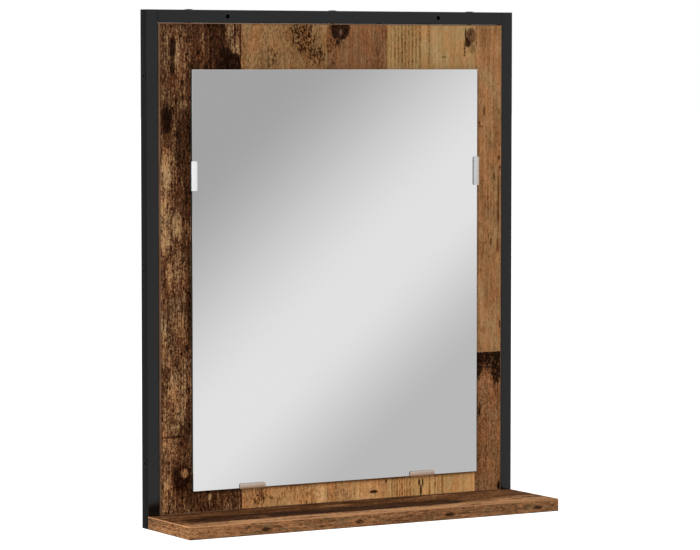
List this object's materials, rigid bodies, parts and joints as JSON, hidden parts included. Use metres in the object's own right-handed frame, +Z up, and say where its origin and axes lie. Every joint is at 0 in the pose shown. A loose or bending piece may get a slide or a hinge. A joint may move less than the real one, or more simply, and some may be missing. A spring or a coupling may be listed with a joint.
{
  "type": "wall mirror with shelf",
  "caption": "Rectangular wall mirror in clear clips on a reclaimed-look wood panel, in a black square-tube steel frame with a narrow wood shelf along the bottom.",
  "frame": {"origin": "on the wall plane, at the middle of the top rail's back face, midway between the two wall-fixing holes", "axes": "+X to the viewer's right, +Y into the wall (the mirror faces -Y), +Z up"},
  "size_m": [0.5016, 0.12, 0.6016],
  "materials": {
    "frame_paint": "semi-gloss black powder coat",
    "plug_plastic": "matte black",
    "panel_wood": "reclaimed-plank decor on engineered wood, upright grain, satin",
    "panel_edge_band": "thin light-brown edge band",
    "shelf_wood": "reclaimed-plank decor on engineered wood, grain along the shelf, satin",
    "shelf_edge_band": "printed wood edge band, satin",
    "bolt_black": "black oxide, semi-gloss",
    "insert_zinc": "zinc, yellow passivated",
    "screw_steel": "zinc plated",
    "mirror_silver": "silvered float glass, polished edge",
    "clip_clear": "clear moulded plastic"
  },
  "bodies": {
    "root": {"left_post": "frame_paint", "right_post": "frame_paint", "top_rail": "frame_paint", "bottom_rail": "frame_paint", "left_post_top_plug": "plug_plastic", "left_post_bottom_plug": "plug_plastic", "right_post_top_plug": "plug_plastic", "right_post_bottom_plug": "plug_plastic", "back_panel": "panel_wood", "panel_edge_band_left": "panel_edge_band", "panel_edge_band_right": "panel_edge_band", "panel_edge_band_top": "panel_edge_band", "panel_edge_band_bottom": "panel_edge_band", "shelf_board": "shelf_wood", "shelf_edge_band_front": "shelf_edge_band", "shelf_edge_band_left": "shelf_edge_band", "shelf_edge_band_right": "shelf_edge_band", "insert_left_1": "insert_zinc", "insert_left_2": "insert_zinc", "insert_left_3": "insert_zinc", "insert_right_1": "insert_zinc", "insert_right_2": "insert_zinc", "insert_right_3": "insert_zinc", "insert_top_1": "insert_zinc", "insert_top_2": "insert_zinc", "insert_top_3": "insert_zinc", "insert_bottom_1": "insert_zinc", "insert_bottom_2": "insert_zinc", "insert_bottom_3": "insert_zinc", "bolt_left_1": "bolt_black", "bolt_left_2": "bolt_black", "bolt_left_3": "bolt_black", "bolt_right_1": "bolt_black", "bolt_right_2": "bolt_black", "bolt_right_3": "bolt_black", "bolt_top_1": "bolt_black", "bolt_top_2": "bolt_black", "bolt_top_3": "bolt_black", "bolt_bottom_1": "bolt_black", "bolt_bottom_2": "bolt_black", "bolt_bottom_3": "bolt_black", "shelf_screw_1": "screw_steel", "shelf_screw_2": "screw_steel", "shelf_screw_3": "screw_steel", "shelf_screw_4": "screw_steel", "clip_left_screw_1": "screw_steel", "clip_left_screw_2": "screw_steel", "clip_right_screw_1": "screw_steel", "clip_right_screw_2": "screw_steel", "clip_bottom_left_screw_1": "screw_steel", "clip_bottom_left_screw_2": "screw_steel", "clip_bottom_right_screw_1": "screw_steel", "clip_bottom_right_screw_2": "screw_steel", "mirror_glass": "mirror_silver", "clip_left": "clip_clear", "clip_right": "clip_clear", "clip_bottom_left": "clip_clear", "clip_bottom_right": "clip_clear"}
  },
  "joints": []
}
